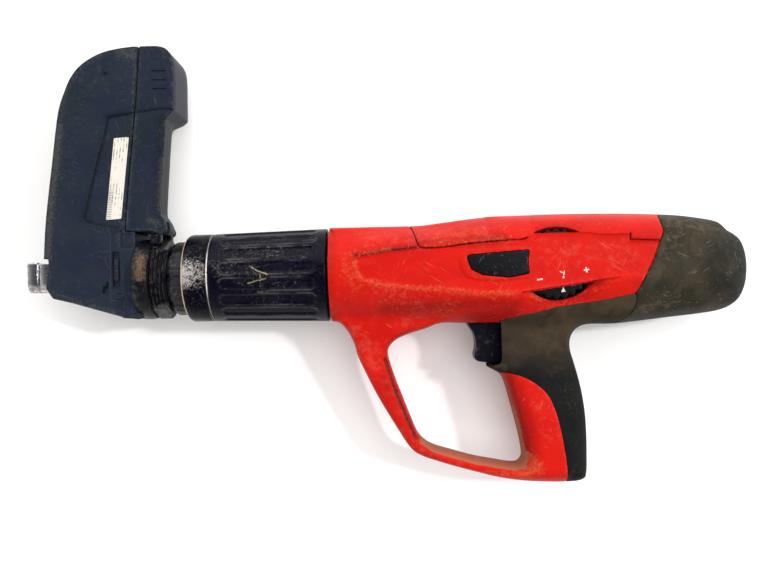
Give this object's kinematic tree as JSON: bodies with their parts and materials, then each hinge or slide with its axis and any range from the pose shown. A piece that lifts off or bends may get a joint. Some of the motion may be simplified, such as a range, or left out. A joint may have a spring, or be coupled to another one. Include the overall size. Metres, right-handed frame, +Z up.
{
  "type": "powder-actuated nail gun",
  "caption": "Powder-actuated nail gun with a pistol grip, open trigger guard, ribbed front sleeve and a swivelling nail magazine with a hinged cover.",
  "frame": {"origin": "bottom centre of the bounding box, with the tool lying on its side", "axes": "+X along the barrel from the nose to the rear cap, +Y from the grip towards the magazine, +Z up through the side face"},
  "size_m": [0.4696, 0.2904, 0.066],
  "materials": {
    "red_plastic": "semi-gloss moulded red nylon, faded and scratched",
    "cap_plastic": "matt dark brown-grey, dusty",
    "grip_rubber": "matt soft overmould, dusty at the top",
    "magazine_plastic": "satin dark blue-grey, scuffed",
    "cover_plastic": "satin dark purple-grey, scuffed",
    "black_plastic": "satin black",
    "sleeve_plastic": "glossy blue-black, scratched",
    "ring_metal": "black oxide worn to bare steel on the front edge",
    "nose_steel": "bright steel, brown reflections",
    "steel": "machined steel",
    "dark_steel": "phosphated steel",
    "guide_brass": "dull brass",
    "buffer_rubber": "black rubber",
    "label_paper": "white foil label with grey rules, no text"
  },
  "bodies": {
    "housing": {"housing_left": "red_plastic", "housing_right": "red_plastic", "housing_screw_1": "dark_steel", "housing_screw_2": "dark_steel", "housing_screw_3": "dark_steel", "housing_screw_4": "dark_steel", "housing_screw_5": "dark_steel", "top_cover": "red_plastic", "rear_cap": "cap_plastic", "trigger_guard": "red_plastic", "grip_front": "red_plastic", "grip_overmould": "grip_rubber", "trigger_pin": "steel", "trigger_spring": "dark_steel", "sear_pin": "steel", "front_bearing": "dark_steel", "return_spring": "dark_steel", "cartridge_chamber": "steel", "cartridge_guide": "guide_brass", "breech_block": "steel", "receiver_tube": "dark_steel", "firing_spring": "dark_steel", "spring_seat": "dark_steel", "lever_pin": "steel", "wheel_axle": "steel", "button_spring": "dark_steel"},
    "front_unit": {"piston_guide": "dark_steel", "rubber_buffer": "buffer_rubber"},
    "collar": {"coupling_collar": "black_plastic"},
    "piston": {"piston": "steel", "piston_ring": "dark_steel"},
    "magazine": {"nosepiece": "nose_steel", "magazine_body": "magazine_plastic", "swivel_hub": "black_plastic", "rating_label": "label_paper", "cover_hinge_pin": "steel", "follower_spring": "dark_steel"},
    "cover": {"magazine_cover": "cover_plastic"},
    "latch": {"cover_latch": "cover_plastic"},
    "lock": {"magazine_lock": "black_plastic"},
    "follower": {"nail_follower": "steel"},
    "sleeve": {"front_ring": "ring_metal", "ribbed_sleeve": "sleeve_plastic"},
    "trigger": {"trigger": "black_plastic"},
    "sear": {"sear_lever": "dark_steel"},
    "wheel": {"power_wheel": "black_plastic"},
    "button": {"release_button": "black_plastic"},
    "firing_pin": {"firing_pin": "steel"},
    "transport": {"transport_lever": "dark_steel"}
  },
  "joints": [
    {"name": "nose_press", "type": "slide", "parent": "housing", "child": "front_unit", "axis": [1, 0, 0], "range_m": [0, 0.01], "stiffness_N_per_m": 2000, "springref_m": -0.01, "deforming": ["return_spring"]},
    {"name": "collar_turn", "type": "hinge", "parent": "front_unit", "child": "collar", "pos_m": [-0.13771, -0.0048, 0.033], "axis": [1, 0, 0], "continuous": true},
    {"name": "piston_slide", "type": "slide", "parent": "front_unit", "child": "piston", "axis": [-1, 0, 0], "range_m": [0, 0.094]},
    {"name": "magazine_swivel", "type": "hinge", "parent": "front_unit", "child": "magazine", "pos_m": [-0.15771, -0.0048, 0.033], "axis": [1, 0, 0], "continuous": true},
    {"name": "cover_hinge", "type": "hinge", "parent": "magazine", "child": "cover", "pos_m": [-0.14871, 0.0312, 0.033], "axis": [0, 0, -1], "range_deg": [0, 60]},
    {"name": "cover_latch_slide", "type": "slide", "parent": "cover", "child": "latch", "axis": [0, -1, 0], "range_m": [0, 0.0035], "stiffness_N_per_m": 600, "springref_m": -0.003},
    {"name": "magazine_lock_slide", "type": "slide", "parent": "magazine", "child": "lock", "axis": [0, 1, 0], "range_m": [-0.004, 0.004]},
    {"name": "follower_slide", "type": "slide", "parent": "magazine", "child": "follower", "axis": [0.1289, 0.9917, 0], "range_m": [0, 0.098], "stiffness_N_per_m": 40, "springref_m": -0.05, "deforming": ["follower_spring"]},
    {"name": "sleeve_turn", "type": "hinge", "parent": "housing", "child": "sleeve", "pos_m": [-0.07771, -0.0048, 0.033], "axis": [1, 0, 0], "continuous": true},
    {"name": "trigger_pull", "type": "hinge", "parent": "housing", "child": "trigger", "pos_m": [0.06729, -0.0318, 0.033], "axis": [0, 0, 1], "range_deg": [0, 11], "stiffness_Nm_per_rad": 0.8, "springref_deg": -8.59},
    {"name": "sear_tilt", "type": "hinge", "parent": "housing", "child": "sear", "pos_m": [0.09829, -0.0258, 0.033], "axis": [0, 0, 1], "range_deg": [-6.6, 0]},
    {"name": "power_wheel_turn", "type": "hinge", "parent": "housing", "child": "wheel", "pos_m": [0.10659, -0.0018, 0.055], "axis": [0, 0, 1], "range_deg": [-36, 36]},
    {"name": "release_button_press", "type": "slide", "parent": "housing", "child": "button", "axis": [0, 0, -1], "range_m": [0, 0.002], "stiffness_N_per_m": 1200, "springref_m": -0.002, "deforming": ["button_spring"]},
    {"name": "firing_pin_slide", "type": "slide", "parent": "housing", "child": "firing_pin", "axis": [-1, 0, 0], "range_m": [0, 0.0046], "stiffness_N_per_m": 800, "springref_m": -0.004, "deforming": ["firing_spring"]},
    {"name": "transport_lever_swing", "type": "hinge", "parent": "housing", "child": "transport", "pos_m": [0.07429, -0.0238, 0.033], "axis": [0, 0, 1], "range_deg": [0, 20]}
  ],
  "couplings": [
    {"joint": "sear_tilt", "follows": "trigger_pull", "ratio": -0.6},
    {"joint": "transport_lever_swing", "follows": "nose_press", "rad_per_m": 34.9}
  ]
}
